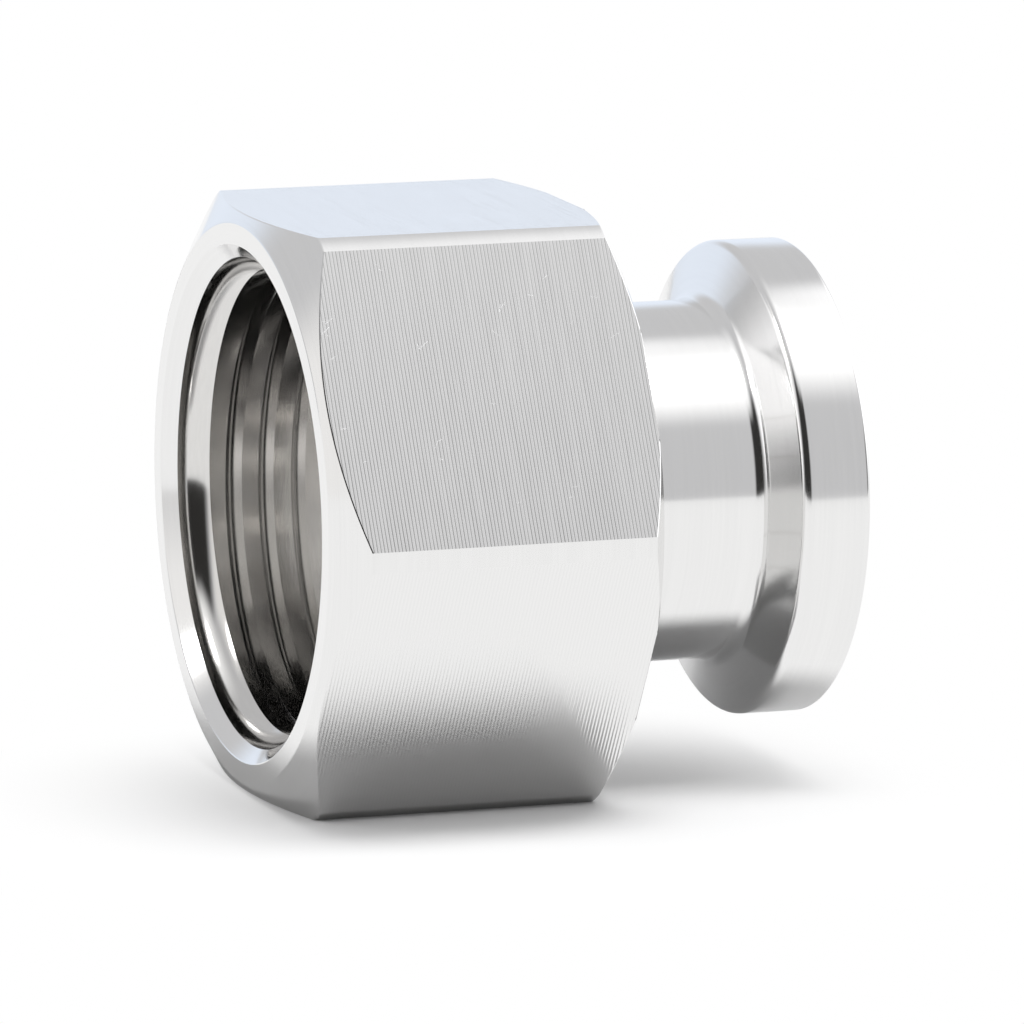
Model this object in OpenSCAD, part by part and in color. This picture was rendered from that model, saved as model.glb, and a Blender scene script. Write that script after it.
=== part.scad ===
// Clamp ferrule adapter with a female pipe thread, turned and milled from one
// piece of round bar. It lies on one flat of its hexagon with the flow axis
// level. The origin is the centre of the sealing face, on the flow axis. +X
// points out of the ferrule, the threaded mouth faces -X, and +Z is up.
// All sizes are in millimetres and degrees.

/* [Hexagon] */
// Distance across the flats of the hexagon
across_flats = 30.5; // [29:0.1:33]
// Length of the hexagon along the flow axis
hex_len = 17.9; // [16.5:0.1:24]
// How far the round of the bar cuts back each sharp corner of the hexagon
corner_cut = 0.3; // [0.1:0.05:0.6]
// Angle of both end chamfers, measured from the end face
chamfer_angle = 30; // [25:1:40]
// Depth of the chamfer at the mouth end, along the axis at the round of the bar
mouth_chamfer = 1.5; // [0.8:0.05:1.7]
// Depth of the chamfer at the neck end, along the axis at the round of the bar
neck_chamfer = 1.05; // [0.5:0.05:1.6]

/* [Threaded mouth] */
// Diameter of the straight hole that the thread is cut in
thread_bore_d = 24.5; // [22:0.1:25.5]
// Depth of the straight hole, from the mouth face
thread_bore_depth = 14.5; // [11:0.1:14.8]
// Diameter of the countersink at the mouth face
mouth_d = 27.2; // [26:0.1:27.8]
// Included angle of the countersink
mouth_angle = 135; // [60:5:150]
// Included angle of the cone that closes the straight hole
drill_angle = 118; // [100:2:150]

/* [Neck] */
// Outside diameter of the neck, the tube size of the ferrule
neck_d = 19.05; // [17.5:0.05:21]
// Wall of the neck, between its outside and the flow bore
neck_wall = 1.65; // [1.2:0.05:2.4]
// Length from the hexagon to the start of the flange's back taper
neck_len = 7.8; // [5:0.1:15]
// Radius left by the tool where the neck meets the hexagon
neck_root_r = 0.4; // [0.2:0.05:0.8]

/* [Flange] */
// Outside diameter of the flange that the clamp closes on
flange_d = 25.2; // [24.5:0.05:27]
// Width of the flange's rim, measured to the sharp corner of the back taper
rim_w = 3.65; // [2.8:0.05:5]
// Angle of the back taper, measured from the sealing face
taper_angle = 20; // [15:1:25]
// Radius between the neck and the back taper
taper_fillet_r = 0.8; // [0.3:0.05:1]
// Radius between the back taper and the rim
taper_edge_r = 0.55; // [0.2:0.05:0.8]
// Radius between the rim and the sealing face
face_edge_r = 0.25; // [0.1:0.05:0.5]
// Width of the gasket groove at the sealing face
groove_w = 2.3; // [1.6:0.1:2.6]
// Depth of the gasket groove
groove_depth = 0.8; // [0.4:0.05:1]

/* [Hidden] */

// Faces of the turned surfaces in a preview
$fn = 180;
// How far a cutter runs past the face that it starts from
cut_margin = 1;
// Sides of the hexagon
sides = 6;

flat_r = across_flats / 2;
corner_r = flat_r / cos(180 / sides);
bar_r = corner_r - corner_cut;
mouth_face_r = bar_r - mouth_chamfer / tan(chamfer_angle);
neck_face_r = bar_r - neck_chamfer / tan(chamfer_angle);

thread_bore_r = thread_bore_d / 2;
mouth_r = mouth_d / 2;
mouth_sink = (mouth_r - thread_bore_r) / tan(mouth_angle / 2);

neck_r = neck_d / 2;
flow_r = neck_r - neck_wall;
shoulder_end = thread_bore_depth + (thread_bore_r - flow_r) / tan(drill_angle / 2);

flange_r = flange_d / 2;
taper_start = hex_len + neck_len;
taper_end = taper_start + (flange_r - neck_r) * tan(taper_angle);
total_len = taper_end + rim_w;

groove_mid_r = (flow_r + flange_r) / 2;
groove_r = (pow(groove_w / 2, 2) + pow(groove_depth, 2)) / (2 * groove_depth);

// The back taper turns the outline by this angle at each of its two ends
taper_turn = 90 - taper_angle;
fillet_run = taper_fillet_r * tan(taper_turn / 2);
edge_run = taper_edge_r * tan(taper_turn / 2);

// A point on the back taper, a distance from its corner at the neck
function taper_from_neck(run) =
    [neck_r + run * cos(taper_angle), taper_start + run * sin(taper_angle)];

// A point on the back taper, a distance from its corner at the rim
function taper_from_rim(run) =
    [flange_r - run * cos(taper_angle), taper_end - run * sin(taper_angle)];

// Half of the outside section: radius across, distance from the mouth face up.
// Each rounded corner is cut straight between the ends of its arc here.
module outside_corners() {
    polygon([
        [0, 0],
        [mouth_face_r, 0],
        [bar_r, mouth_chamfer],
        [bar_r, hex_len - neck_chamfer],
        [neck_face_r, hex_len],
        [neck_r + neck_root_r, hex_len],
        [neck_r, hex_len],
        [neck_r, taper_start],
        taper_from_neck(fillet_run),
        taper_from_rim(edge_run),
        [flange_r, taper_end + edge_run],
        [flange_r, total_len - face_edge_r],
        [flange_r - face_edge_r, total_len],
        [0, total_len]
    ]);
}

// What fills the two inside corners of the neck before their arcs are cut
module inside_corner_fill() {
    polygon([
        [neck_r, hex_len],
        [neck_r + neck_root_r, hex_len],
        [neck_r, hex_len + neck_root_r]
    ]);
    polygon([
        [neck_r, taper_start - fillet_run],
        taper_from_neck(fillet_run),
        [neck_r, taper_start]
    ]);
}

// The outside section with every corner at its true arc
module outside_section() {
    difference() {
        union() {
            outside_corners();
            inside_corner_fill();
            translate([flange_r - taper_edge_r, taper_end + edge_run])
                circle(r = taper_edge_r);
            translate([flange_r - face_edge_r, total_len - face_edge_r])
                circle(r = face_edge_r);
        }
        translate([neck_r + neck_root_r, hex_len + neck_root_r])
            circle(r = neck_root_r);
        translate([neck_r + taper_fillet_r, taper_start - fillet_run])
            circle(r = taper_fillet_r);
        translate([groove_mid_r, total_len + groove_r - groove_depth])
            circle(r = groove_r);
    }
}

// Half of the way through: countersink, straight hole, shoulder and flow bore
module inside_section() {
    polygon([
        [0, -cut_margin],
        [mouth_r + cut_margin * tan(mouth_angle / 2), -cut_margin],
        [thread_bore_r, mouth_sink],
        [thread_bore_r, thread_bore_depth],
        [flow_r, shoulder_end],
        [flow_r, total_len + cut_margin],
        [0, total_len + cut_margin]
    ]);
}

// What the mill takes off beside one flat
module flat_cut() {
    translate([flat_r, -corner_r, -cut_margin])
        cube([corner_r, 2 * corner_r, hex_len + 2 * cut_margin]);
}

module adapter_body() {
    color([0.79, 0.80, 0.81])
        translate([-total_len, 0, 0])
            rotate([0, 90, 0])
                difference() {
                    rotate_extrude() outside_section();
                    rotate_extrude() inside_section();
                    for (i = [0 : sides - 1])
                        rotate([0, 0, i * 360 / sides]) flat_cut();
                }
}

adapter_body();
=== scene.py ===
"""Looks of the clamp ferrule adapter: its threaded body, its steel, and the studio round it."""

import logging
import math
from collections.abc import Callable, Sequence
from dataclasses import dataclass, field, replace
from enum import Enum
from typing import Any

import bmesh
import bpy
from mathutils import Matrix, Vector

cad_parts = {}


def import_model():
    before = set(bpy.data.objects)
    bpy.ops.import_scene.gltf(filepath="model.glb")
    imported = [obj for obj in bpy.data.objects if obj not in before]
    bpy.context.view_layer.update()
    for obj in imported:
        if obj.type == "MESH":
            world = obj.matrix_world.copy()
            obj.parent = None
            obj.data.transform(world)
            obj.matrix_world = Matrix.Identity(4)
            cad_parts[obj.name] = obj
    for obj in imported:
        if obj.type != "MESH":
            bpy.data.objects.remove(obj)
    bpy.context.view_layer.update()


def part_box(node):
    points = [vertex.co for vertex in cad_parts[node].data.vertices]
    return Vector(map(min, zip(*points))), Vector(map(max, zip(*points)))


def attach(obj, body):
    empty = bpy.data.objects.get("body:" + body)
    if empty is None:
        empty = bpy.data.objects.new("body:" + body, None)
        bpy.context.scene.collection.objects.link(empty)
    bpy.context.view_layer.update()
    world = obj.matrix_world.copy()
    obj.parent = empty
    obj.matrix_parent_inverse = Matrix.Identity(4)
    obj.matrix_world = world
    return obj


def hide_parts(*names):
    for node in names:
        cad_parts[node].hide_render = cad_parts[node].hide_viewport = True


LOG = logging.getLogger("adapter")
NODE = "adapter_body"
BODY = "root"
METRES_PER_MM = 0.001
MM_PER_INCH = 25.4
JOIN_GAP = 1e-4
CUT_TOLERANCE = 1e-5

Colour = tuple[float, float, float]
Point = tuple[float, float]
Triple = tuple[float, float, float]


class Axis(Enum):
    """The three axes of the row frame."""

    X = (1.0, 0.0, 0.0)
    Y = (0.0, 1.0, 0.0)
    Z = (0.0, 0.0, 1.0)


@dataclass(frozen=True)
class Value:
    """A number in a node tree, on which Python's operators add Math nodes."""

    graph: "Graph"
    socket: bpy.types.NodeSocket

    def __add__(self, other: "Value | float") -> "Value":
        """This number plus another."""
        return self.graph.maths("ADD", self, other)

    def __radd__(self, other: float) -> "Value":
        """Another number plus this one."""
        return self.graph.maths("ADD", other, self)

    def __sub__(self, other: "Value | float") -> "Value":
        """This number less another."""
        return self.graph.maths("SUBTRACT", self, other)

    def __rsub__(self, other: float) -> "Value":
        """Another number less this one."""
        return self.graph.maths("SUBTRACT", other, self)

    def __mul__(self, other: "Value | float") -> "Value":
        """This number times another."""
        return self.graph.maths("MULTIPLY", self, other)

    def __rmul__(self, other: float) -> "Value":
        """Another number times this one."""
        return self.graph.maths("MULTIPLY", other, self)

    def __truediv__(self, other: "Value | float") -> "Value":
        """This number over another."""
        return self.graph.maths("DIVIDE", self, other)

    def __abs__(self) -> "Value":
        """This number without its sign."""
        return self.graph.maths("ABSOLUTE", self)

    def step(self, low: float, high: float) -> "Value":
        """A soft step, 0 below low and 1 above high.

        Args:
            low: Where the step starts.
            high: Where it ends. It may be below low, which turns the step round.

        Returns:
            The step's height, from 0 to 1.
        """
        return self.graph.add(
            "ShaderNodeMapRange",
            {"interpolation_type": "SMOOTHSTEP"},
            {"Value": self, "From Min": low, "From Max": high, "To Min": 0.0, "To Max": 1.0},
        )


class Graph:
    """A node tree that is built from Python expressions."""

    def __init__(self, tree: bpy.types.NodeTree) -> None:
        """Starts with an empty tree."""
        self.tree = tree
        tree.nodes.clear()

    def add(
        self,
        kind: str,
        settings: dict[str, Any] | None = None,
        sockets: dict[str | int, Any] | None = None,
        output: str | int = 0,
    ) -> Value:
        """Adds a node.

        Args:
            kind: The node's type.
            settings: The node's own settings, which are set first.
            sockets: A value or a link for each input, by its name or number.
            output: The name or number of the output that is returned.

        Returns:
            The chosen output.
        """
        node = self.tree.nodes.new(kind)
        for name, setting in (settings or {}).items():
            setattr(node, name, setting)
        for key, value in (sockets or {}).items():
            if isinstance(value, Value):
                self.tree.links.new(value.socket, node.inputs[key])
            else:
                node.inputs[key].default_value = value
        return Value(self, node.outputs[output] if node.outputs else None)

    def maths(self, operation: str, *numbers: Value | float) -> Value:
        """A Math node on up to three numbers."""
        return self.add("ShaderNodeMath", {"operation": operation}, dict(enumerate(numbers)))

    def mix(self, share: Value | float, first: Any, second: Any) -> Value:
        """A colour that goes from first to second as share goes from 0 to 1."""
        return self.add("ShaderNodeMix", {"data_type": "RGBA"}, {0: share, 6: first, 7: second}, 2)

    def combine(self, x: Value | float, y: Value | float, z: Value | float) -> Value:
        """A vector from three numbers."""
        return self.add("ShaderNodeCombineXYZ", {}, {0: x, 1: y, 2: z})

    def place(self) -> tuple[Value, Value, Value]:
        """The point's place in the row frame, in millimetres."""
        metres = self.add("ShaderNodeTexCoord", output="Object")
        return tuple(
            self.add("ShaderNodeSeparateXYZ", {}, {0: metres}, i) / METRES_PER_MM for i in range(3)
        )

    def stretch(self, place: Sequence[Value], factors: Triple) -> Value:
        """A vector from three numbers, each times a factor of its own."""
        return self.combine(*(part * factor for part, factor in zip(place, factors)))

    def noise(self, vector: Value, scale: float, detail: float = 2.0) -> Value:
        """Smooth noise from 0 to 1, of this many grains a unit of the vector."""
        return self.add(
            "ShaderNodeTexNoise", {}, {"Vector": vector, "Scale": scale, "Detail": detail}, "Fac"
        )


def grey(level: float) -> tuple[float, float, float, float]:
    """A neutral colour."""
    return (level, level, level, 1.0)


@dataclass(frozen=True)
class Steel:
    """Bare stainless steel, with the marks that a finish leaves on it."""

    name: str
    colour: Colour = (0.86, 0.857, 0.852)
    dark_share: float = 0.62
    roughness: float = 0.12
    roughness_spread: float = 0.04
    cloud_grains: float = 0.35
    painted_glint_level: float = 0.95
    glint_matt: float = 0.6

    def marks(self, graph: Graph) -> tuple[Value, Value]:
        """The finish's marks at a point.

        Args:
            graph: The material's tree.

        Returns:
            How dark the mark is, from 0 to 1, and its height in millimetres.
        """
        raise NotImplementedError

    def scratches_and_glints(self, graph: Graph) -> Value | float:
        """How much of a scratch covers a point, from 0 to 1; its pale colour is real wear with a
        painted highlight on it.
        """
        return 0.0

    def material(self) -> bpy.types.Material:
        """Makes the material of this finish.

        Returns:
            The material, ready for a slot.
        """
        made = bpy.data.materials.new(self.name)
        made.use_nodes = True
        graph = Graph(made.node_tree)
        shade, height = self.marks(graph)
        x, y, z = graph.place()
        cloud = graph.noise(graph.combine(x, y, z), self.cloud_grains)
        bump = graph.add(
            "ShaderNodeBump",
            {},
            {"Strength": 1.0, "Distance": METRES_PER_MM, "Height": height},
        )
        dark = tuple(self.dark_share * part for part in self.colour)
        # Scratches turn near-white and less metallic: real wear whose brightness is a painted
        # highlight.
        glint = self.scratches_and_glints(graph)
        marked = graph.mix(shade, (*self.colour, 1.0), (*dark, 1.0))
        surface = graph.add(
            "ShaderNodeBsdfPrincipled",
            {},
            {
                "Base Color": graph.mix(glint, marked, grey(self.painted_glint_level)),
                "Metallic": 1.0 - glint * self.glint_matt,
                "Roughness": self.roughness + (cloud - 0.5) * self.roughness_spread,
                "Normal": bump,
            },
        )
        graph.add("ShaderNodeOutputMaterial", {}, {"Surface": surface})
        return made


@dataclass(frozen=True)
class TurnedSteel(Steel):
    """Steel off the lathe: fine rings round the flow axis."""

    ring_height: float = 0.0006
    ring_shade: float = 0.12
    base_shade: float = 0.05
    fine_grains: float = 9.0
    fine_detail: float = 3.0
    broad_grains: float = 1.6
    face_pitch: float = 0.7
    drift: float = 0.02

    def marks(self, graph: Graph) -> tuple[Value, Value]:
        """Rings that change along the axis and across the radius."""
        x, y, z = graph.place()
        radius = graph.maths("SQRT", y * y + z * z)
        drift = y * self.drift + z * self.drift
        turn = graph.combine(x + radius * self.face_pitch, radius, drift)
        fine = graph.noise(turn, self.fine_grains, self.fine_detail)
        broad = graph.noise(turn, self.broad_grains)
        rings = (fine - 0.5) * self.ring_shade + (broad - 0.5) * self.ring_shade
        return rings + self.base_shade, fine * self.ring_height


@dataclass(frozen=True)
class TappedSteel(Steel):
    """Steel inside the bore and on the thread, rubbed along the cut."""

    rub_height: float = 0.0008
    rub_shade: float = 0.2
    streak_grains: float = 6.0
    streak_detail: float = 3.0
    streak_across: float = 0.15

    def marks(self, graph: Graph) -> tuple[Value, Value]:
        """Short streaks round the axis."""
        x, y, z = graph.place()
        along = graph.combine(x, y * self.streak_across, z * self.streak_across)
        streak = graph.noise(along, self.streak_grains, self.streak_detail)
        return streak * self.rub_shade, streak * self.rub_height


@dataclass(frozen=True)
class Scratch:
    """One scratch on the flat that faces the camera, real wear with a painted highlight in its pale
    colour.

    It starts at a distance from the mouth and a height on the flat above its middle, and has a
    run along the axis, a rise up the flat and a strength. The core is the share of its half
    width that has the full strength.
    """

    mouth_gap: float
    height: float
    run: float
    rise: float
    strength: float = 1.0
    core: float = 0.4

    def mask(self, graph: Graph, along: Value, up: Value, half_width: float) -> Value:
        """How much of the scratch covers a point.

        Args:
            graph: The material's tree.
            along: The point's distance from the mouth.
            up: Its height on the flat above the flat's middle.
            half_width: Half of the scratch's width.

        Returns:
            Its share, from 0 to its strength.
        """
        length = math.hypot(self.run, self.rise)
        step_x, step_y = self.run / length, self.rise / length
        off_x = along - (self.mouth_gap + self.run / 2)
        off_y = up - (self.height + self.rise / 2)
        reach = abs(off_x * step_x + off_y * step_y)
        side = abs(off_x * step_y - off_y * step_x)
        ends = reach.step(length / 2 + half_width, length / 2 - half_width)
        return side.step(half_width, half_width * self.core) * ends * self.strength


@dataclass(frozen=True)
class MilledSteel(Steel):
    """Steel under the mill: fine straight lines square to the flow axis."""

    mouth_x: float = 0.0
    flat_r: float = 0.0
    scratched_tilt: float = 30.0
    scratched_depth: Point = (0.3, 0.1)
    scratch_half_width: float = 0.035
    scratches: tuple[Scratch, ...] = (
        Scratch(0.95, 4.25, 0.45, 0.30, 0.8),
        Scratch(0.74, 4.42, 0.35, -0.05, 0.5),
        Scratch(0.70, 3.72, 0.45, 0.38, 1.0),
        Scratch(0.92, 3.66, 0.12, -0.10, 0.6),
        Scratch(0.92, 2.30, 0.35, 0.22, 0.6),
        Scratch(4.10, 7.55, 0.12, -0.35, 0.4),
        Scratch(4.25, 7.10, 0.22, -0.10, 0.8),
        Scratch(5.68, 2.95, 0.08, -0.32, 0.9),
        Scratch(5.76, 2.63, 0.50, 0.42, 1.0),
        Scratch(10.40, 4.45, 0.12, 0.40, 0.9),
        Scratch(10.40, 4.55, 0.36, 0.36, 0.7),
        Scratch(12.05, 5.30, 0.32, -0.06, 0.8),
        Scratch(13.05, 6.15, 0.24, 0.16, 0.8),
        Scratch(15.40, 5.05, 0.50, -0.10, 0.4),
        Scratch(9.85, 3.45, 0.34, -0.34, 0.6),
        Scratch(14.10, 3.55, 0.20, 0.20, 0.4),
        Scratch(16.20, 2.75, 0.45, 0.22, 0.5),
        Scratch(9.10, -0.50, 0.26, -0.04, 0.7),
        Scratch(5.70, -2.75, 0.22, 0.38, 0.6),
        Scratch(5.92, -2.37, 0.30, 0.08, 0.7),
        Scratch(5.85, -3.35, 0.20, -0.05, 0.9),
        Scratch(0.85, -1.45, 0.35, 0.02, 0.8),
        Scratch(1.75, -3.30, 0.22, 0.06, 0.6),
        Scratch(12.75, -5.25, 0.28, 0.03, 0.5),
        Scratch(12.45, -5.80, 0.16, 0.02, 0.7),
        Scratch(9.55, -5.95, 0.22, 0.05, 0.4),
    )
    pitch: float = 0.19
    line_height: float = 0.015
    line_shade: float = 0.08
    sway: float = 0.05
    sway_stretch: Triple = (0.3, 0.15, 0.15)
    depth_stretch: Triple = (3.0, 0.1, 0.1)
    depth_grains: float = 1.5
    depth_detail: float = 3.0

    def marks(self, graph: Graph) -> tuple[Value, Value]:
        """Lines of an even pitch and uneven depth."""
        place = graph.place()
        sway = graph.noise(graph.stretch(place, self.sway_stretch), 1.0) * self.sway
        wave = graph.maths("SINE", (place[0] + sway) * (2 * math.pi / self.pitch)) * 0.5 + 0.5
        spread = graph.stretch(place, self.depth_stretch)
        depth = graph.noise(spread, self.depth_grains, self.depth_detail)
        lines = wave * (depth * 0.5 + 0.5)
        return lines * self.line_shade, lines * self.line_height

    def scratches_and_glints(self, graph: Graph) -> Value:
        """The scratches on the flat that faces the camera, from above; their pale colour is a painted
        highlight on real wear.
        """
        x, y, z = graph.place()
        tilt = math.radians(self.scratched_tilt)
        out = z * math.sin(tilt) - y * math.cos(tilt)
        up = y * math.sin(tilt) + z * math.cos(tilt)
        along = x - self.mouth_x
        total: Value | float = 0.0
        for scratch in self.scratches:
            total = total + scratch.mask(graph, along, up, self.scratch_half_width)
        covered = graph.maths("MINIMUM", total, 1.0)
        deep, shallow = self.scratched_depth
        return covered * out.step(self.flat_r - deep, self.flat_r - shallow)


class Bench:
    """What a modeller does by hand: pick, shape, and put the tools away."""

    @staticmethod
    def clear() -> None:
        """Leaves nothing selected, in object mode."""
        if bpy.context.object and bpy.context.object.mode != "OBJECT":
            bpy.ops.object.mode_set(mode="OBJECT")
        bpy.ops.object.select_all(action="DESELECT")

    @staticmethod
    def pick(piece: bpy.types.Object) -> None:
        """Makes one object the only selected one, and active."""
        Bench.clear()
        piece.select_set(True)
        bpy.context.view_layer.objects.active = piece

    @staticmethod
    def edit(piece: bpy.types.Object) -> None:
        """Opens one object in edit mode with all of its vertices selected."""
        Bench.pick(piece)
        bpy.ops.object.mode_set(mode="EDIT")
        bpy.ops.mesh.select_mode(type="VERT")
        bpy.ops.mesh.select_all(action="SELECT")

    @staticmethod
    def wire(name: str, outline: Sequence[Point]) -> bpy.types.Object:
        """Draws a closed outline in the XY plane, one extruded vertex after another.

        Args:
            name: The new object's name.
            outline: Its points, as distance along the axis and radius.

        Returns:
            The object, in object mode.
        """
        Bench.clear()
        first = Vector((*outline[0], 0.0))
        bpy.ops.mesh.primitive_plane_add(size=1.0, location=first)
        piece = bpy.context.object
        piece.name = name
        bpy.ops.object.transform_apply(location=True)
        Bench.edit(piece)
        bpy.ops.mesh.merge(type="CENTER")
        here = first
        for point in (*outline[1:], outline[0]):
            there = Vector((*point, 0.0))
            bpy.ops.mesh.extrude_vertices_move(TRANSFORM_OT_translate={"value": there - here})
            here = there
        bpy.ops.mesh.select_all(action="SELECT")
        bpy.ops.mesh.remove_doubles(threshold=JOIN_GAP)
        bpy.ops.object.mode_set(mode="OBJECT")
        return piece

    @staticmethod
    def modify(piece: bpy.types.Object, kind: str, **settings: Any) -> None:
        """Adds a modifier, sets it and applies it."""
        Bench.pick(piece)
        modifier = piece.modifiers.new(kind.lower(), kind)
        for name, setting in settings.items():
            setattr(modifier, name, setting)
        bpy.ops.object.modifier_apply(modifier=modifier.name)

    @staticmethod
    def select_faces(
        piece: bpy.types.Object, chosen: Callable[[bpy.types.MeshPolygon], bool]
    ) -> None:
        """Selects the faces that pass a test, and no others.

        Args:
            piece: The object, left in object mode.
            chosen: The test on one face.
        """
        Bench.edit(piece)
        bpy.ops.mesh.select_mode(type="FACE")
        bpy.ops.mesh.select_all(action="DESELECT")
        bpy.ops.object.mode_set(mode="OBJECT")
        for face in piece.data.polygons:
            face.select = chosen(face)


def arc(centre: Point, radius: float, start: float, end: float, steps: int) -> list[Point]:
    """Points on a round stretch of an outline.

    Args:
        centre: The round's centre.
        radius: Its radius.
        start: The angle of the first point, in degrees.
        end: The angle of the last point, in degrees.
        steps: How many straight pieces stand for the round.

    Returns:
        The points, both ends included.
    """
    angles = [math.radians(start + (end - start) * i / steps) for i in range(steps + 1)]
    return [(centre[0] + radius * math.cos(a), centre[1] + radius * math.sin(a)) for a in angles]


@dataclass
class PipeTap:
    """The tap that cuts the pipe thread: 14 turns an inch, 60 degrees, crests left by the bore."""

    pitch: float = MM_PER_INCH / 14
    mouth_root_r: float = 13.09
    root_flat: float = 0.1
    tooth_depth: float = 1.2
    shank_depth: float = 0.5
    flank_angle: float = 30.0
    taper: float = 1 / 32
    start: float = 2.382
    start_angle: float = 100.0
    turns: int = 6
    run_out: float = 1.9
    run_out_drop: float = 0.09
    steps: int = 396

    def build(self, mouth_x: float) -> bpy.types.Object:
        """Makes the tap in its cutting place.

        Args:
            mouth_x: Where the mouth face is on the flow axis.

        Returns:
            The tap, a closed solid in millimetres.
        """
        length = self.turns * self.pitch
        root_r = self.mouth_root_r - (self.start + length - self.run_out) * self.taper
        base_r = root_r - self.tooth_depth
        half = self.root_flat / 2
        base = half + self.tooth_depth * math.tan(math.radians(self.flank_angle))
        outline = [
            (-base, base_r - self.shank_depth),
            (-base, base_r),
            (-half, root_r),
            (half, root_r),
            (base, base_r),
            (base, base_r - self.shank_depth),
        ]
        tap = Bench.wire("pipe_tap", outline)
        Bench.modify(
            tap,
            "SCREW",
            axis=Axis.X.name,
            angle=2 * math.pi,
            screw_offset=self.pitch,
            iterations=self.turns,
            steps=self.steps,
            render_steps=self.steps,
            use_merge_vertices=False,
        )
        Bench.edit(tap)
        bpy.ops.mesh.select_all(action="DESELECT")
        bpy.ops.mesh.select_mode(type="EDGE")
        bpy.ops.mesh.select_non_manifold()
        bpy.ops.mesh.fill_holes(sides=0)
        bpy.ops.mesh.select_all(action="SELECT")
        bpy.ops.mesh.normals_make_consistent(inside=False)
        bpy.ops.transform.translate(value=(self.run_out - length, 0.0, 0.0))
        bpy.ops.object.mode_set(mode="OBJECT")
        whole = length + 2 * base
        Bench.modify(
            tap,
            "SIMPLE_DEFORM",
            deform_method="TAPER",
            deform_axis=Axis.X.name,
            factor=-self.taper * whole / root_r,
        )
        Bench.modify(
            tap,
            "SIMPLE_DEFORM",
            deform_method="TAPER",
            deform_axis=Axis.X.name,
            limits=((whole - self.run_out - base) / whole, 1.0),
            factor=-self.run_out_drop,
        )
        Bench.edit(tap)
        bpy.ops.transform.translate(value=(mouth_x + self.start + length - self.run_out, 0.0, 0.0))
        bpy.ops.object.mode_set(mode="OBJECT")
        tap.rotation_euler.x = math.radians(self.start_angle)
        bpy.ops.object.transform_apply(rotation=True)
        return tap


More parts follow.
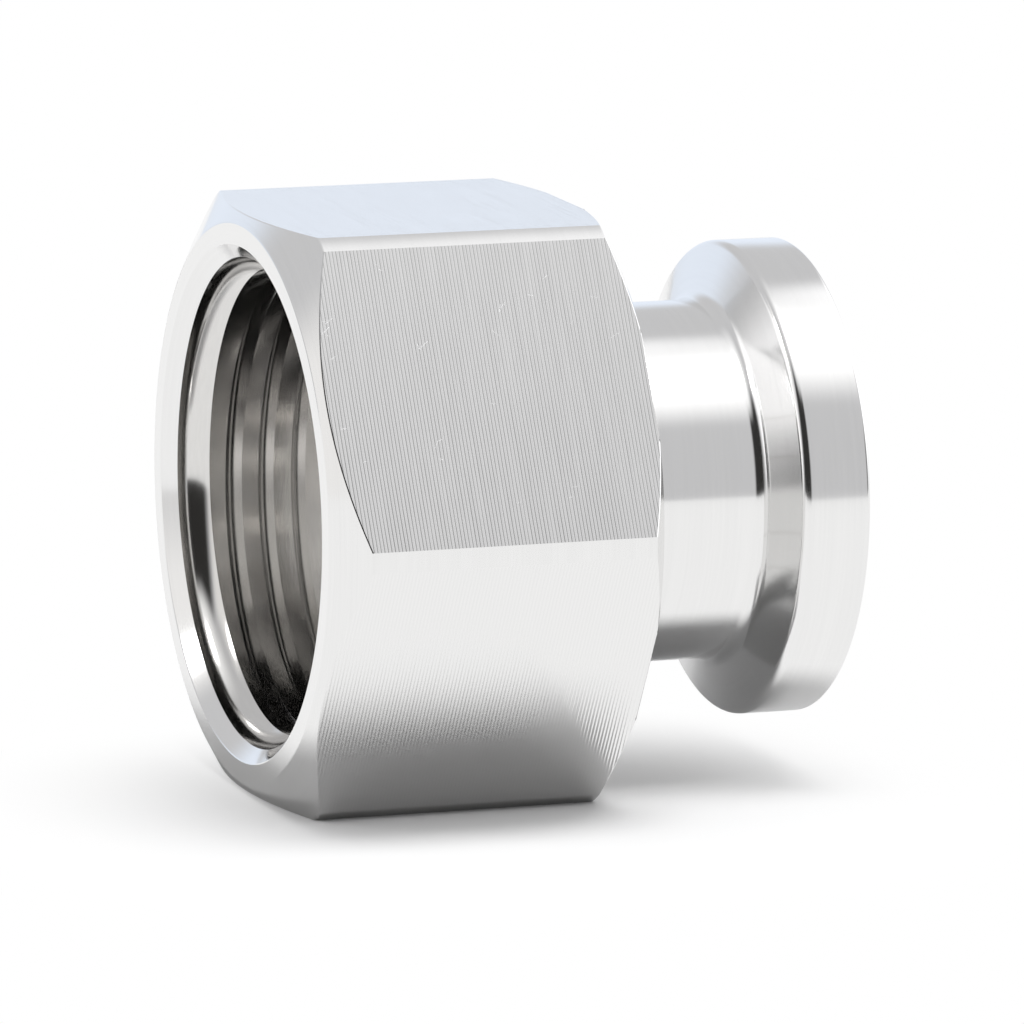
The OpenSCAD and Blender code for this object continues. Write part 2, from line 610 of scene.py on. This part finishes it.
@dataclass
class AdapterBody:
    """The whole fitting, turned, milled and tapped from one piece of bar. Sizes are in millimetres."""

    flat_r: float
    total_len: float
    hex_len: float = 17.9
    sides: int = 6
    corner_cut: float = 0.3
    chamfer_angle: float = 30.0
    mouth_chamfer: float = 1.5
    neck_chamfer: float = 1.05
    bore_r: float = 12.25
    bore_depth: float = 14.5
    mouth_r: float = 13.6
    mouth_angle: float = 90.0
    entry_r: float = 12.88
    entry_len: float = 0.9
    entry_fillet_r: float = 1.9
    drill_angle: float = 118.0
    neck_r: float = 9.525
    neck_wall: float = 1.65
    neck_root_r: float = 0.4
    flange_r: float = 12.6
    rim_w: float = 3.65
    taper_angle: float = 20.0
    taper_fillet_r: float = 0.8
    taper_edge_r: float = 0.55
    face_edge_r: float = 0.25
    groove_w: float = 2.3
    groove_depth: float = 0.8
    edge_break: float = 0.04
    weld_shares: Point = (0.8, 0.4)
    skim: float = 0.001
    sharp_angle: float = 29.5
    smooth_angle: float = 12.0
    steps: int = 396
    root_steps: int = 12
    fillet_steps: int = 16
    rim_steps: int = 14
    lip_steps: int = 12
    groove_steps: int = 18
    entry_steps: int = 12
    level_slant: float = 1e-3
    flat_margin: float = 1e-2
    sink_margin: float = 1e-2
    bore_margin: float = 0.1
    square_slant: float = 0.999
    tap: PipeTap = field(default_factory=PipeTap)
    turned: TurnedSteel = field(default_factory=lambda: TurnedSteel("turned_steel"))
    milled: MilledSteel = field(default_factory=lambda: MilledSteel("milled_steel", roughness=0.15))
    # The tapped steel's darker colour is partly the cut thread's duller tone and partly painted shade
    # inside the threaded hole.
    tapped: TappedSteel = field(
        default_factory=lambda: TappedSteel("tapped_steel_painted_shade", colour=(0.74, 0.73, 0.715))
    )

    def outside(self) -> list[Point]:
        """The outside of the half section, from the mouth face to the sealing face.

        Returns:
            Points as distance from the mouth face and radius.
        """
        corner_r = self.flat_r / math.cos(math.pi / self.sides)
        bar_r = corner_r - self.corner_cut
        slope = math.tan(math.radians(self.chamfer_angle))
        taper = math.radians(self.taper_angle)
        turn = 90.0 - self.taper_angle
        fillet_run = self.taper_fillet_r * math.tan(math.radians(turn / 2))
        edge_run = self.taper_edge_r * math.tan(math.radians(turn / 2))
        rise = (self.flange_r - self.neck_r) * math.tan(taper)
        taper_end = self.total_len - self.rim_w
        taper_start = taper_end - rise
        root = (self.hex_len + self.neck_root_r, self.neck_r + self.neck_root_r)
        fillet = (taper_start - fillet_run, self.neck_r + self.taper_fillet_r)
        rim = (taper_end + edge_run, self.flange_r - self.taper_edge_r)
        lip = (self.total_len - self.face_edge_r, self.flange_r - self.face_edge_r)
        return [
            (0.0, self.mouth_r),
            (0.0, bar_r - self.mouth_chamfer / slope),
            (self.mouth_chamfer, bar_r),
            (self.hex_len - self.neck_chamfer, bar_r),
            (self.hex_len, bar_r - self.neck_chamfer / slope),
            *arc(root, self.neck_root_r, 180.0, 270.0, self.root_steps),
            *arc(fillet, self.taper_fillet_r, 270.0, 270.0 + turn, self.fillet_steps),
            *arc(rim, self.taper_edge_r, 90.0 + turn, 90.0, self.rim_steps),
            *arc(lip, self.face_edge_r, 90.0, 0.0, self.lip_steps),
        ]

    def inside(self) -> list[Point]:
        """The inside of the half section, from the sealing face back to the mouth.

        Returns:
            Points as distance from the mouth face and radius.
        """
        flow_r = self.neck_r - self.neck_wall
        half = self.groove_w / 2
        ball = (half**2 + self.groove_depth**2) / (2 * self.groove_depth)
        reach = math.degrees(math.asin(half / ball))
        middle = (self.total_len + ball - self.groove_depth, (flow_r + self.flange_r) / 2)
        drill = math.tan(math.radians(self.drill_angle / 2))
        sink = math.tan(math.radians(self.mouth_angle / 2))
        entry = (self.entry_len, self.entry_r - self.entry_fillet_r)
        entry_end = math.degrees(math.asin((self.bore_r - entry[1]) / self.entry_fillet_r))
        return [
            *arc(middle, ball, 180.0 - reach, 180.0 + reach, self.groove_steps),
            (self.total_len, flow_r),
            (self.bore_depth + (self.bore_r - flow_r) / drill, flow_r),
            (self.bore_depth, self.bore_r),
            *arc(entry, self.entry_fillet_r, entry_end, 90.0, self.entry_steps),
            ((self.mouth_r - self.entry_r) / sink, self.entry_r),
        ]

    def turn(self) -> bpy.types.Object:
        """Turns the bar, inside and out.

        Returns:
            The closed turned solid.
        """
        section = [(x - self.total_len, r) for x, r in (*self.outside(), *self.inside())]
        piece = Bench.wire("threaded_body", section)
        Bench.edit(piece)
        bpy.ops.mesh.spin(
            steps=self.steps, angle=2 * math.pi, center=(0.0, 0.0, 0.0), axis=Axis.X.value
        )
        bpy.ops.mesh.select_all(action="SELECT")
        bpy.ops.mesh.remove_doubles(threshold=JOIN_GAP)
        bpy.ops.mesh.normals_make_consistent(inside=False)
        bpy.ops.object.mode_set(mode="OBJECT")
        return piece

    def mill(self, piece: bpy.types.Object, depth: float = 0.0) -> None:
        """Mills the flats, the lowest one square to the ground.

        Args:
            piece: The turned body.
            depth: How far below its true place each flat is cut.
        """
        Bench.edit(piece)
        for i in range(self.sides):
            angle = 2 * math.pi * i / self.sides - math.pi / 2
            outward = Vector((0.0, math.cos(angle), math.sin(angle)))
            bpy.ops.mesh.select_all(action="SELECT")
            bpy.ops.mesh.bisect(
                plane_co=outward * (self.flat_r - depth),
                plane_no=outward,
                use_fill=True,
                clear_outer=True,
                threshold=CUT_TOLERANCE,
            )
        bpy.ops.object.mode_set(mode="OBJECT")

    def break_edges(self, piece: bpy.types.Object) -> None:
        """Takes the burr off every sharp edge outside the threaded hole."""
        Bench.edit(piece)
        bpy.ops.mesh.select_mode(type="EDGE")
        bpy.ops.mesh.select_all(action="DESELECT")
        bpy.ops.mesh.edges_select_sharp(sharpness=math.radians(self.sharp_angle))
        shape = bmesh.from_edit_mesh(piece.data)
        hole_end = self.hex_len - self.total_len
        for edge in shape.edges:
            middle = (edge.verts[0].co + edge.verts[1].co) / 2
            radius = math.hypot(middle.y, middle.z)
            if middle.x < hole_end and radius < self.mouth_r - self.edge_break:
                edge.select_set(False)
        bmesh.update_edit_mesh(piece.data)
        bpy.ops.mesh.bevel(offset=self.edge_break, segments=1, clamp_overlap=False)
        bpy.ops.object.mode_set(mode="OBJECT")

    def cut_thread(self, piece: bpy.types.Object) -> None:
        """Cuts the pipe thread with the tap."""
        tap = self.tap.build(-self.total_len)
        Bench.modify(piece, "BOOLEAN", operation="DIFFERENCE", solver="MANIFOLD", object=tap)
        bpy.data.objects.remove(tap)

    def weld(self, piece: bpy.types.Object, gap: float) -> None:
        """Merges the points round the flats that lie nearer to each other than a gap."""
        Bench.select_faces(piece, self.is_flat)
        bpy.ops.object.mode_set(mode="EDIT")
        bpy.ops.mesh.remove_doubles(threshold=gap)
        bpy.ops.object.mode_set(mode="OBJECT")

    def is_shoulder(self, face: bpy.types.MeshPolygon) -> bool:
        """Whether a face lies on the hexagon's shoulder, round the neck."""
        gap = abs(face.center.x - (self.hex_len - self.total_len))
        return face.normal.x > self.square_slant and gap < self.edge_break

    def face_shoulder(self, piece: bpy.types.Object) -> None:
        """Faces the shoulder flat again, where the welds have pulled at its rim."""
        Bench.select_faces(piece, self.is_shoulder)
        bpy.ops.object.mode_set(mode="EDIT")
        plane = (self.hex_len - self.total_len, 0.0, 0.0)
        bpy.ops.transform.resize(value=(0.0, 1.0, 1.0), center_override=plane)
        bpy.ops.object.mode_set(mode="OBJECT")

    def to_metres(self, piece: bpy.types.Object) -> None:
        """Brings the finished mesh from millimetres to the row frame's metres."""
        Bench.pick(piece)
        piece.scale = (METRES_PER_MM,) * 3
        bpy.ops.object.transform_apply(location=True, rotation=True, scale=True)

    def is_flat(self, face: bpy.types.MeshPolygon) -> bool:
        """Whether a face lies on one of the hexagon's flats."""
        reach = Vector((0.0, *face.normal[1:])).dot(face.center)
        level = abs(face.normal.x) < self.level_slant
        return level and abs(reach - self.flat_r) < self.flat_margin

    def is_inside(self, face: bpy.types.MeshPolygon) -> bool:
        """Whether a face within the mouth's radius turns to the axis, countersink apart."""
        radius = math.hypot(face.center.y, face.center.z)
        inward = face.normal.dot(Vector((0.0, *face.center[1:]))) < 0.0
        slant = math.sin(math.radians(self.mouth_angle / 2))
        countersunk = abs(face.normal.x + slant) < self.sink_margin
        return radius < self.mouth_r - self.bore_margin and inward and not countersunk

    def dress(self, piece: bpy.types.Object) -> None:
        """Gives each region its finish."""
        Bench.pick(piece)
        bpy.ops.object.shade_smooth_by_angle(angle=math.radians(self.smooth_angle))
        milled = replace(self.milled, mouth_x=-self.total_len, flat_r=self.flat_r)
        flats = (milled, self.is_flat)
        bores = (self.tapped, self.is_inside)
        piece.data.materials.clear()
        piece.data.materials.append(self.turned.material())
        for index, (finish, chosen) in enumerate((bores, flats), start=1):
            piece.data.materials.append(finish.material())
            Bench.select_faces(piece, chosen)
            bpy.ops.object.mode_set(mode="EDIT")
            piece.active_material_index = index
            bpy.ops.object.material_slot_assign()
            bpy.ops.object.mode_set(mode="OBJECT")
        Bench.select_faces(piece, lambda face: self.is_flat(face) or self.is_shoulder(face))
        bpy.ops.object.mode_set(mode="EDIT")
        bpy.ops.mesh.faces_shade_flat()
        bpy.ops.object.mode_set(mode="OBJECT")

    def build(self) -> bpy.types.Object:
        """Makes the body and puts it in the frame.

        Returns:
            The finished piece.
        """
        first_weld, last_weld = self.weld_shares
        piece = self.turn()
        self.cut_thread(piece)
        self.mill(piece)
        self.break_edges(piece)
        self.weld(piece, first_weld * self.edge_break)
        self.mill(piece, self.skim)
        self.weld(piece, last_weld * self.edge_break)
        self.face_shoulder(piece)
        self.dress(piece)
        self.to_metres(piece)
        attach(piece, BODY)
        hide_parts(NODE)
        return piece


@dataclass(frozen=True)
class Panel:
    """A soft-edged field of light or dark on the studio's walls.

    Azimuth 0 is the side that the camera stands on, 90 is +X, and angles are in degrees.
    """

    azimuth: float
    elevation: float
    half_width: float
    half_height: float
    edge: float
    colour: Colour


@dataclass(frozen=True)
class Lamp:
    """A soft-edged round light in the studio."""

    azimuth: float
    elevation: float
    inner: float
    outer: float
    colour: Colour


@dataclass(frozen=True)
class Skylight:
    """A soft-edged square light overhead, its place and size given for a ceiling 1 unit up."""

    x: float
    y: float
    half_x: float
    half_y: float
    edge: float
    colour: Colour


@dataclass
class Studio:
    """The floor, the soft light round it and the camera.

    The contact, foot and glow sizes are millimetres on the floor, from the point under aim.
    The floor turns from paper to white over a glow's two distances from the part, so that the
    camera and the steel see a white background round the part's own shadow.
    """

    floor_z: float
    floor_radius: float = 0.5
    floor_sides: int = 64
    # The paper is darker for every ray but the camera's: painted shade that deepens the contact shade
    # seen in the steel and the light the floor bounces back.
    painted_shade_paper_level: float = 0.65
    seen_level: float = 0.95
    contact_middle: float = -4.5
    contact_half: float = 6.5
    contact_y: float = -8.8
    part_half: float = 14.0
    hex_foot: float = 8.8
    neck_foot: float = 1.2
    foot_change: Point = (4.2, 2.2)
    seen_glow: Point = (1.5, 25.0)
    mirrored_glow: Point = (3.8, 8.0)
    wall: Colour = (0.632, 0.632, 0.642)
    panels: tuple[Panel, ...] = (
        Panel(-28.0, 22.0, 36.0, 30.0, 10.0, (0.035, 0.034, 0.033)),
        Panel(-97.0, 15.0, 24.0, 30.0, 8.0, (0.958, 0.948, 0.939)),
        Panel(180.0, 6.0, 30.0, 12.0, 8.0, (0.862, 0.929, 1.035)),
        Panel(48.0, 8.0, 14.0, 14.0, 8.0, (0.25, 0.25, 0.25)),
        Panel(102.0, 30.0, 30.0, 32.0, 10.0, (1.5, 1.5, 1.52)),
    )
    skylights: tuple[Skylight, ...] = (
        Skylight(0.22, -0.25, 0.6, 0.5, 0.34, (1.29, 1.29, 1.29)),
        Skylight(0.15, -0.20, 0.35, 0.16, 0.06, (9.0, 9.0, 9.0)),
    )
    lamps: tuple[Lamp, ...] = (Lamp(-105.0, 36.0, 3.0, 7.0, (6.0, 6.0, 6.0)),)
    lowest_ray: float = 0.02
    aim: Triple = (-0.015343, 0.0, -0.001251)
    camera_azimuth: float = 19.719
    camera_elevation: float = 10.837
    camera_roll: float = 0.596
    distance: float = 0.504
    lens: float = 336.1
    sensor: float = 36.0
    clip: Point = (0.05, 5.0)

    def floor(self) -> bpy.types.Object:
        """Lays a pale round floor under the part.

        Returns:
            The floor.
        """
        Bench.clear()
        bpy.ops.mesh.primitive_circle_add(
            vertices=self.floor_sides,
            radius=self.floor_radius,
            fill_type="NGON",
            location=(self.aim[0], 0.0, self.floor_z),
        )
        made = bpy.context.object
        made.name = "floor"
        paint = bpy.data.materials.new("floor_paint")
        paint.use_nodes = True
        graph = Graph(paint.node_tree)
        seen = graph.add("ShaderNodeLightPath", output="Is Camera Ray")
        mirrored = graph.add("ShaderNodeLightPath", output="Is Glossy Ray")
        # Painted shade: the steel and bounced light see darker paper than the camera does.
        tone = graph.mix(seen, grey(self.painted_shade_paper_level), grey(self.seen_level))
        paper = graph.add("ShaderNodeBsdfDiffuse", {}, {"Color": tone, "Roughness": 1.0})
        white = graph.add("ShaderNodeEmission", {}, {"Color": grey(1.0), "Strength": 1.0})
        x, y, z = graph.place()
        beside = self.beyond(abs(x - self.contact_middle), self.contact_half)
        before = y - self.contact_y
        seen = seen * self.length(beside, before).step(*self.seen_glow)
        beside = self.beyond(abs(x), self.part_half)
        foot = x.step(*self.foot_change) * (self.hex_foot - self.neck_foot) + self.neck_foot
        towards_camera = y * -1.0
        before = self.beyond(towards_camera, foot)
        mirrored = mirrored * self.length(beside, before).step(*self.mirrored_glow)
        surface = graph.add("ShaderNodeMixShader", {}, {0: seen + mirrored, 1: paper, 2: white})
        graph.add("ShaderNodeOutputMaterial", {}, {"Surface": surface})
        made.data.materials.append(paint)
        return made

    @staticmethod
    def beyond(distance: Value, edge: Value | float) -> Value:
        """How far a distance goes past an edge, and 0 before it."""
        return distance.graph.maths("MAXIMUM", distance - edge, 0.0)

    @staticmethod
    def length(across: Value, along: Value) -> Value:
        """The length of a flat vector from its two parts."""
        return across.graph.maths("SQRT", across * across + along * along)

    def panel_mask(self, graph: Graph, ray: Sequence[Value], panel: Panel) -> Value:
        """How much of a panel shows in a direction.

        Args:
            graph: The world's tree.
            ray: The direction's three parts.
            panel: The panel.

        Returns:
            Its share, from 0 to 1.
        """
        turn = math.radians(panel.azimuth)
        across = ray[0] * math.cos(turn) + ray[1] * math.sin(turn)
        towards = ray[0] * math.sin(turn) - ray[1] * math.cos(turn)
        degrees = 180.0 / math.pi
        azimuth = abs(graph.maths("ARCTAN2", across, towards) * degrees)
        elevation = abs(graph.maths("ARCSINE", ray[2]) * degrees - panel.elevation)
        wide = azimuth.step(panel.half_width + panel.edge, panel.half_width - panel.edge)
        high = elevation.step(panel.half_height + panel.edge, panel.half_height - panel.edge)
        return wide * high

    def lamp_mask(self, ray: Sequence[Value], lamp: Lamp) -> Value:
        """How much of a lamp shows in a direction.

        Args:
            ray: The direction's three parts.
            lamp: The lamp.

        Returns:
            Its share, from 0 to 1.
        """
        azimuth, elevation = math.radians(lamp.azimuth), math.radians(lamp.elevation)
        towards = (
            math.cos(elevation) * math.sin(azimuth),
            -math.cos(elevation) * math.cos(azimuth),
            math.sin(elevation),
        )
        near = ray[0] * towards[0] + ray[1] * towards[1] + ray[2] * towards[2]
        return near.step(math.cos(math.radians(lamp.outer)), math.cos(math.radians(lamp.inner)))

    def skylight_mask(self, graph: Graph, ray: Sequence[Value], sky: Skylight) -> Value:
        """How much of a skylight shows in a direction.

        Args:
            graph: The world's tree.
            ray: The direction's three parts.
            sky: The skylight.

        Returns:
            Its share, from 0 to 1.
        """
        up = graph.maths("MAXIMUM", ray[2], self.lowest_ray)
        off_x = abs(ray[0] / up - sky.x)
        off_y = abs(ray[1] / up - sky.y)
        wide = off_x.step(sky.half_x + sky.edge, sky.half_x - sky.edge)
        deep = off_y.step(sky.half_y + sky.edge, sky.half_y - sky.edge)
        return wide * deep

    def light(self) -> None:
        """Lights the part with soft panels, and shows the camera a white background."""
        world = bpy.data.worlds.new("studio")
        bpy.context.scene.world = world
        world.use_nodes = True
        graph = Graph(world.node_tree)
        direction = graph.add("ShaderNodeTexCoord", output="Generated")
        ray = [graph.add("ShaderNodeSeparateXYZ", {}, {0: direction}, i) for i in range(3)]
        colour: Value | tuple[float, ...] = (*self.wall, 1.0)
        for panel in self.panels:
            colour = graph.mix(self.panel_mask(graph, ray, panel), colour, (*panel.colour, 1.0))
        for lamp in self.lamps:
            colour = graph.mix(self.lamp_mask(ray, lamp), colour, (*lamp.colour, 1.0))
        for sky in self.skylights:
            colour = graph.mix(self.skylight_mask(graph, ray, sky), colour, (*sky.colour, 1.0))
        seen = graph.add("ShaderNodeLightPath", output="Is Camera Ray")
        shown = graph.mix(seen, colour, grey(1.0))
        surface = graph.add("ShaderNodeBackground", {}, {"Color": shown, "Strength": 1.0})
        graph.add("ShaderNodeOutputWorld", {}, {"Surface": surface})

    def camera(self) -> bpy.types.Object:
        """Places the camera at the photograph's viewing angle.

        Returns:
            The scene's camera.
        """
        azimuth = math.radians(self.camera_azimuth)
        elevation = math.radians(self.camera_elevation)
        roll = math.radians(self.camera_roll)
        level = math.cos(elevation)
        back = Vector(
            (-level * math.sin(azimuth), -level * math.cos(azimuth), math.sin(elevation))
        )
        side = Vector((math.cos(azimuth), -math.sin(azimuth), 0.0))
        top = back.cross(side)
        right = side * math.cos(roll) + top * math.sin(roll)
        up = top * math.cos(roll) - side * math.sin(roll)
        Bench.clear()
        bpy.ops.object.camera_add()
        made = bpy.context.object
        made.matrix_world = Matrix.Translation(Vector(self.aim) + back * self.distance) @ Matrix(
            (right, up, back)
        ).transposed().to_4x4()
        made.data.lens = self.lens
        made.data.sensor_width = self.sensor
        made.data.clip_start, made.data.clip_end = self.clip
        bpy.context.scene.camera = made
        return made

    def build(self) -> None:
        """Sets up the floor, the light and the camera."""
        self.floor()
        self.light()
        self.camera()
        bpy.context.scene.view_settings.view_transform = "Standard"


def main() -> None:
    """Builds the part and its studio, and reports each piece."""
    logging.basicConfig(level=logging.INFO, format="%(message)s")
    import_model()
    low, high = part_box(NODE)
    sizes = {"flat_r": high.z / METRES_PER_MM, "total_len": (high.x - low.x) / METRES_PER_MM}
    piece = AdapterBody(**sizes).build()
    LOG.info("%s: %d faces", piece.name, len(piece.data.polygons))
    Studio(floor_z=low.z).build()


if __name__ == "__main__":
    main()
